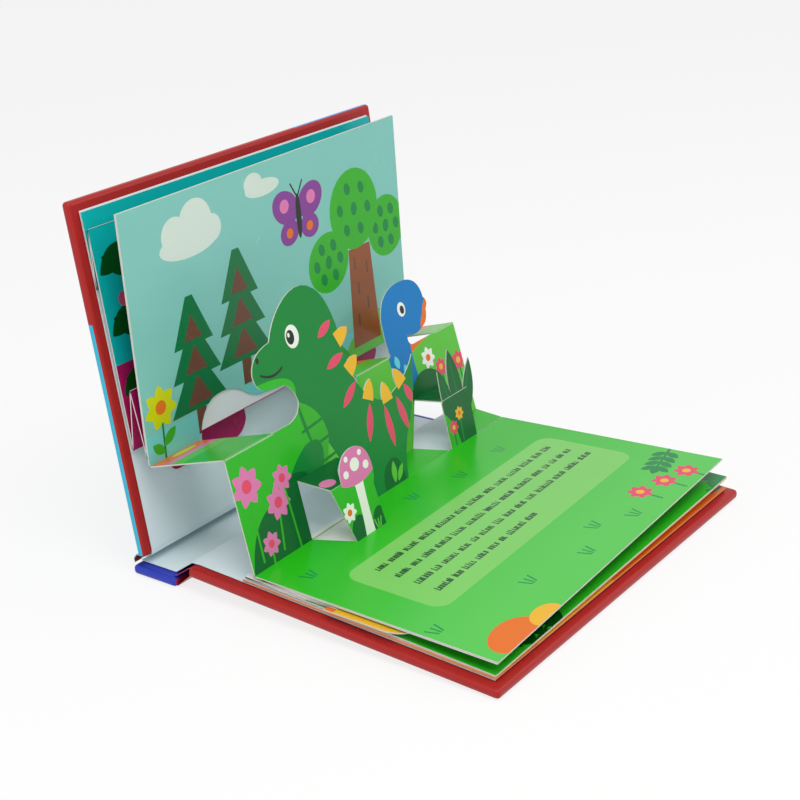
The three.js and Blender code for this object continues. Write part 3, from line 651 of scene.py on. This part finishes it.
def ground_page(card):
    """The lying page, with rows of meaningless strokes, and the strips under the far wall."""
    rng = random.Random(7)
    prints = [("panel", round_rect(13, 121.5, 21.5, 56, 5))]
    for row in range(4):
        s, y = 27.8 + row * 7.0, 21.0
        stop = 116 if row < 3 else 72
        while y < stop:
            length = rng.uniform(2.4, 8.5)
            word = min(y + length, stop)
            while y < word:
                tall = rng.choice((0.95, 0.95, 1.4))
                prints.append(("line", quad(y, y + 0.5, s - tall, s + 1.0)))
                prints.append(("line", quad(y + 0.3, y + 0.9, s + rng.choice((-0.9, 0.4)), s + 0.9)))
                y += rng.uniform(0.9, 1.15)
            y += 1.3
    prints += [("orange", oval(13, GROUND - 3, 9.5, 6.5)), ("amber", oval(25.5, GROUND - 1, 6.0, 4.2))]
    prints += frond(PAGE_H + 1, 64, 15, -80, 4, "vein", 5.6, 2.9)
    prints += frond(47, GROUND + 1, 13, -62, 3, "vein", 5.4, 3.0)
    for y, s in ((99, 70), (109, 73), (118, 76)):
        prints += [("tuft", bar(y, s, y - 0.6, s + 8, 0.8)), *daisy(y, s, 4.2, "hot_pink")]
    for y, s in ((9, 15), (64, 11.5), (84, 16), (106, 16), (74, 70), (38, 70), (60, 76), (86, 77), (4, 62)):
        prints += [(n, [(p, 2 * s - q) for p, q in ring]) for n, ring in tuft(y, s, 4.2)]
    card.panel(wall_foot, fore_edge, [quad(0, PAGE_H, -LAP, GROUND)], "floor", prints,
               holes=[[(BOX_A_FROM, 0), (BOX_A_TO, 0), (BOX_A_TO + BOX_A_SLANT[1], BOX_A_DEPTH),
                       (BOX_A_FROM + BOX_A_SLANT[0], BOX_A_DEPTH)]], back="far_green")
    wide = between(step_foot, wall_foot)
    flap = [(STEP_START, -LAP), (FIGURE_FOOT + 0.4, wide + LAP), (FLAP_END, wide + LAP), (FLAP_END - 6, -LAP)]
    inner = [flap, quad(BOX_C_TO, PAGE_H, -LAP, wide + LAP)]
    card.panel(step_foot, wall_foot, inner, "wall")


def on_front(up, inward):
    """(x, z) up the front cover from its hinge and inward from it."""
    x, z = FRONT_HINGE
    return (x - up * math.sin(FRONT_LEAN) + inward * math.cos(FRONT_LEAN),
            z + up * math.cos(FRONT_LEAN) + inward * math.sin(FRONT_LEAN))


def on_back(out, up):
    """(x, z) out along the back cover from its hinge and up from it."""
    x, z = BACK_HINGE
    return (x + out * math.cos(BACK_TILT) - up * math.sin(BACK_TILT),
            z + out * math.sin(BACK_TILT) + up * math.cos(BACK_TILT))


def first_sheet(props):
    """The card folded between the front cover and the sky page."""
    card = Card("printed_sheet_1", "sheet_1", props)
    leaf_top = Fold(on_front(COVER_W - MARGIN - 0.6, LEAF_LIFT))
    leaf_foot = Fold(on_front(81.6, LEAF_LIFT))
    upper, lower = Fold((-11.9, 105.7), (-12.1, 105.7)), Fold((-5.0, 40.4), (-5.2, 40.4))
    inner = Fold((-3.2, 59.0), (-4.9, 59.0))
    page_foot, page_top = sky_foot.shift(-SHOWN_GLUED, 2.6), sky_top.shift(-SHOWN_GLUED, 0)
    length, hang = between(upper, lower), 12

    def tab(y0, y1):
        return curve((y0, length - 2), [(y1, length - 2)], [(y1, length + hang * 0.6)],
                     [(y1 - 2, length + hang), (y1 - 8, length + hang)], [(y0 + 4, length + hang)],
                     [(y0, length + hang), (y0, length + hang * 0.5)])

    def full(a, b, extra=LAP):
        return quad(0, PAGE_H, -LAP, between(a, b) + extra)
    leafy = [("magenta", quad(-1, 131, 40, 95))]
    for k in range(10):
        leafy.append(("dark_leaf", petal(13 + 2 * (k % 2), 6 + 9 * k, 14, 7.0, -118 if k % 2 else -58)))
    leafy += [("hot_pink", oval(8, 22, 2.2)), ("orange", oval(20, 33, 2.6))]
    card.panel(leaf_foot, leaf_top, [full(leaf_foot, leaf_top)], "teal", side=-1)
    card.panel(leaf_foot, upper, [full(leaf_foot, upper)], "deep_teal", side=-1, rows=6)
    tabs = [full(upper, lower), tab(12, 47), tab(90, 114)]
    card.panel(upper, lower, tabs, "teal", leafy, side=1, back="white", rows=24)
    card.panel(lower, inner, [full(lower, inner)], "magenta", side=-1, rows=8)
    card.panel(inner, page_foot, [full(inner, page_foot)], "magenta", leafy[:4], side=1, rows=8)
    card.panel(page_foot, page_top, [full(page_foot, page_top, 0)], "teal", side=1)
    obj = card.make()
    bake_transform(obj)
    return obj


def second_sheet(props):
    """The open scene's card."""
    card = Card("printed_sheet_2", "sheet_2", props)
    sky_page(card)
    shelves(card)
    card.panel(wall_foot, shelf_lip, [figure_outline()] + plates(), "wall", figure_prints(), side=-1)
    step_wall(card)
    boxes(card)
    ground_page(card)
    obj = card.make()
    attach(obj, "book")
    return obj


def lower_sheets(props):
    """The two cards folded below the ground page."""
    page_end = COVER_W - MARGIN + 0.4
    leaf = Fold(on_back(page_end, LEAF_LIFT))
    fanned = leaf.shift(0, GLUED)
    middle = Fold((fanned.near[0], fanned.near[1] - 0.2), (fanned.far[0], fanned.far[1] + 2.6))
    third = Card("printed_sheet_3", "sheet_3", props)
    upper_foot, upper_end = wall_foot.shift(2.7, -SHOWN_GLUED), fore_edge.shift(-0.3, -SHOWN_GLUED)
    lower_foot, lower_end = Fold(on_back(19.5, LEAF_LIFT + 2 * GLUED)), middle.shift(0, SHOWN_GLUED)
    lip = Fold((68.4, 8.9), (68.4, 10.1))

    def whole(a, b):
        return quad(0, PAGE_H, -LAP, between(a, b))
    reach = between(lower_foot, lip)
    tip = curve((-1.8, reach - 3), [(24, reach - 3)], [(24, reach + 20)], [(22, reach + 28), (12, reach + 28)],
                [(-1.8, reach + 26), (-1.8, reach + 16)])
    dark = frond(4, 70, 16, 60, 4, "dark_leaf", 8, 5) + frond(14, 86, 14, 100, 3, "dark_leaf", 8, 5)
    dark += frond(118, 84, 12, 60, 3, "vein", 7, 5) + frond(126, 70, 12, 20, 3, "vein", 7, 5)
    third.panel(upper_foot, upper_end, [whole(upper_foot, upper_end)], "wall", side=-1, back="white")
    third.panel(upper_foot, lip, [whole(upper_foot, lip)], "white", side=-1)
    warm = [("white", quad(-1, 131, -1, 24)), ("amber", quad(-3, 40, reach, reach + 40))]
    third.panel(lower_foot, lip, [whole(lower_foot, lip), tip], "orange", warm)
    third.panel(lower_foot, lower_end, [whole(lower_foot, lower_end)], "wall",
                [("white", quad(-1, 131, -1, 22)), *dark])
    fourth = Card("printed_sheet_4", "sheet_4", props, edge="edge_warm")
    top_foot, foot = Fold(on_back(18.5, LEAF_LIFT + CARD - 0.1)), Fold(on_back(18.5, LEAF_LIFT))
    white = ("white", quad(-1, 131, -1, 30))
    fourth.panel(top_foot, middle, [whole(top_foot, middle)], "orange", [white], side=-1)
    fourth.panel(foot, leaf, [whole(foot, leaf)], "orange",
                 [white, ("amber", quad(20, 60, 60, 90)), ("dark_leaf", oval(128, 80, 9, 5))])
    for card in (third, fourth):
        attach(card.make(), "book")


# Case

def covering(name, colour, second=None, split=None):
    return surface(name, colour, 0.34, 0.06, 0.1, 3000.0, second=second, split=split)


def dress_case(props):
    """Materials for the boards, the covering and the linings, which keep their packed shapes."""
    red = chosen(props.cover_colour)
    front = covering("covering_front", chosen(props.low_colour), red, ("Z", BAND_HEIGHT, 0.0004))
    case = covering("covering_case", chosen(props.spine_colour), red, ("X", SPINE_END, SHARP))
    lining = surface("lining", chosen(props.lining_colour), 0.42, 0.03, 0.04, 3000.0)
    board = surface("grey_board", rgba((140, 133, 120)), 0.9, 0.12, 0.4, 2200.0)
    dressing = {
        "cover_paper": {"front_covering": front, "case_covering": case},
        "lining_paper": {"front_lining": lining, "case_lining": lining},
        "grey_board": {"spine_board": board, "back_board": board, "front_board": board},
    }
    for slot, pieces in dressing.items():
        for name, made in pieces.items():
            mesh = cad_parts[name].data
            mesh.materials.clear()
            mesh.materials.append(made)
    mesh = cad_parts["front_covering"].data
    mesh.materials.append(covering("covering_turn_in", red))
    mesh.materials.append(covering("covering_top", red, rgba((0, 140, 215)), ("Y", TOP_PATCH, SHARP)))
    inward = Vector((math.cos(FRONT_LEAN), 0, math.sin(FRONT_LEAN)))
    for face in mesh.polygons:
        if face.normal.dot(inward) > 0.35:
            face.material_index = 1
        elif face.normal.z > 0.5 and face.center.z > 0.1:
            face.material_index = 2


def seen_by_eye(nodes, links):
    """1 for rays from the camera and for those that it sees reflected or through glass."""
    path = nodes.new("ShaderNodeLightPath")
    out = path.outputs["Is Camera Ray"]
    for kind in ("Is Glossy Ray", "Is Transmission Ray"):
        most = nodes.new("ShaderNodeMath")
        most.operation = "MAXIMUM"
        links.new(out, most.inputs[0])
        links.new(path.outputs[kind], most.inputs[1])
        out = most.outputs[0]
    return out


def own_look(nodes, links, lit, seen, output, share=1.0):
    """Light stays as lit, while the camera sees a share of the second shader."""
    part, mix = nodes.new("ShaderNodeMath"), nodes.new("ShaderNodeMixShader")
    part.operation = "MULTIPLY"
    part.inputs[1].default_value = share
    links.new(seen_by_eye(nodes, links), part.inputs[0])
    links.new(part.outputs[0], mix.inputs[0])
    links.new(lit.outputs[0], mix.inputs[1])
    links.new(seen.outputs[0], mix.inputs[2])
    links.new(mix.outputs[0], output.inputs["Surface"])


def build_floor():
    mesh = bpy.data.meshes.new("floor")
    r = FLOOR_REACH
    mesh.from_pydata([(-r, -r, 0), (r, -r, 0), (r, r, 0), (-r, r, 0)], [], [(0, 1, 2, 3)])
    floor = bpy.data.objects.new("floor", mesh)
    bpy.context.scene.collection.objects.link(floor)
    floor.location.z = -0.0002
    made = bpy.data.materials.new("floor")
    made.use_nodes = True
    nodes, links = made.node_tree.nodes, made.node_tree.links
    shader = nodes["Principled BSDF"]
    shader.inputs["Base Color"].default_value = (0.92, 0.92, 0.92, 1)
    shader.inputs["Roughness"].default_value = 0.9
    own_look(nodes, links, shader, nodes.new("ShaderNodeEmission"), nodes["Material Output"], FLOOR_GLOW)
    mesh.materials.append(made)
    return floor


def build_stage(props):
    """A pale floor that keeps the book's shadow, three soft lamps and a white surround."""
    objects = [build_floor()]
    for name, place, size, share, colour in LAMPS:
        lamp = bpy.data.lights.new(name, "AREA")
        lamp.shape, lamp.size, lamp.energy, lamp.color = "DISK", size, props.key_power * share, colour
        obj = bpy.data.objects.new(name, lamp)
        bpy.context.scene.collection.objects.link(obj)
        obj.location = place
        obj.rotation_euler = (Vector(LIT_POINT) - Vector(place)).to_track_quat("-Z", "Y").to_euler()
        objects.append(obj)
    world = bpy.data.worlds.new("studio")
    bpy.context.scene.world = world
    world.use_nodes = True
    nodes, links = world.node_tree.nodes, world.node_tree.links
    base, white = nodes["Background"], nodes.new("ShaderNodeBackground")
    base.inputs["Strength"].default_value = props.sky_power
    for background in (base, white):
        background.inputs["Color"].default_value = (1, 1, 1, 1)
    own_look(nodes, links, base, white, nodes["World Output"])


def build_camera(props):
    """The camera at the photograph's viewing angle."""
    data = bpy.data.cameras.new("photo")
    data.sensor_width, data.lens = SENSOR, props.lens
    data.clip_start = 0.01
    obj = bpy.data.objects.new("photo", data)
    bpy.context.scene.collection.objects.link(obj)
    forward, right = Vector(CAMERA_FORWARD).normalized(), Vector(CAMERA_RIGHT).normalized()
    up = right.cross(forward).normalized()
    right = forward.cross(up).normalized()
    matrix = obj.matrix_world.copy()
    for i in range(3):
        matrix[i][0], matrix[i][1], matrix[i][2] = right[i], up[i], -forward[i]
        matrix[i][3] = CAMERA_AT[i] * MM
    obj.matrix_world = matrix
    bpy.context.scene.camera = obj
    bpy.context.scene.view_settings.view_transform = "Standard"


def colour_choice(label, text, colour):
    return bpy.props.FloatVectorProperty(name=label, description=text, subtype="COLOR_GAMMA", size=3,
                                         min=0, max=1, default=[v / 255 for v in colour])


class BookSizes(bpy.types.PropertyGroup):
    """Sizes and colours of the book's looks."""

    cover_colour: colour_choice("Cover colour", "Colour of the covers' edges and upper band", (168, 32, 30))
    low_colour: colour_choice(
        "Lower cover colour", "Colour of the lower part of the front cover's outer face", (45.9, 183.6, 214.2))
    spine_colour: colour_choice("Spine colour", "Colour of the covering on the spine", (40, 58, 176))
    lining_colour: colour_choice("Lining colour", "Colour of the paper inside the case", (222, 237, 241))
    card_thickness: bpy.props.FloatProperty(
        name="Card thickness", description="Thickness of the printed sheets", default=CARD * MM,
        min=0.0001, max=0.001, subtype="DISTANCE", unit="LENGTH", precision=4)
    key_power: bpy.props.FloatProperty(
        name="Key light", description="Power of the key light in watts", default=3.75, min=0, unit="POWER")
    sky_power: bpy.props.FloatProperty(
        name="Surround", description="Strength of the light from all round", default=0.43, min=0)
    lens: bpy.props.FloatProperty(
        name="Lens", description="Focal length of the camera in millimetres",
        default=FOCAL_PX * SENSOR / PHOTO_PX, min=10, unit="CAMERA")


def operator(name, label, text, action):
    """One Operator class, whose execute runs the action with the scene's settings."""
    def execute(self, context):
        action(context.scene.book_looks)
        return {"FINISHED"}
    return type("BOOK_OT_" + name, (bpy.types.Operator,), {
        "__doc__": text, "bl_idname": "book." + name, "bl_label": label, "bl_options": {"REGISTER", "UNDO"},
        "execute": execute})


STEPS = (
    operator("case", "Case", "Gives the covers, spine and linings their materials", dress_case),
    operator("first_sheet", "First sheet", "Builds the sheet folded behind the scene", first_sheet),
    operator("second_sheet", "Scene", "Builds the open scene's sheet", second_sheet),
    operator("lower_sheets", "Lower sheets", "Builds the sheets folded below the ground page", lower_sheets),
    operator("stage", "Stage", "Builds the floor and the lights", build_stage),
    operator("camera", "Camera", "Sets the camera at the photo's angle", build_camera),
)


class BOOK_PT_panel(bpy.types.Panel):
    """The add-on's sidebar panel."""

    bl_label = "Pop-up book"
    bl_space_type = "VIEW_3D"
    bl_region_type = "UI"
    bl_category = "Pop-up book"

    def draw(self, context):
        for name in BookSizes.__annotations__:
            self.layout.prop(context.scene.book_looks, name)
        for step in STEPS:
            self.layout.operator(step.bl_idname)


CLASSES = (BookSizes, *STEPS, BOOK_PT_panel)


def register():
    for cls in CLASSES:
        bpy.utils.register_class(cls)
    bpy.types.Scene.book_looks = bpy.props.PointerProperty(type=BookSizes)


def unregister():
    del bpy.types.Scene.book_looks
    for cls in reversed(CLASSES):
        bpy.utils.unregister_class(cls)


def main():
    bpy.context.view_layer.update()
    register()
    for step in STEPS:
        group, name = step.bl_idname.split(".")
        getattr(getattr(bpy.ops, group), name)()


if __name__ == "__main__":
    main()
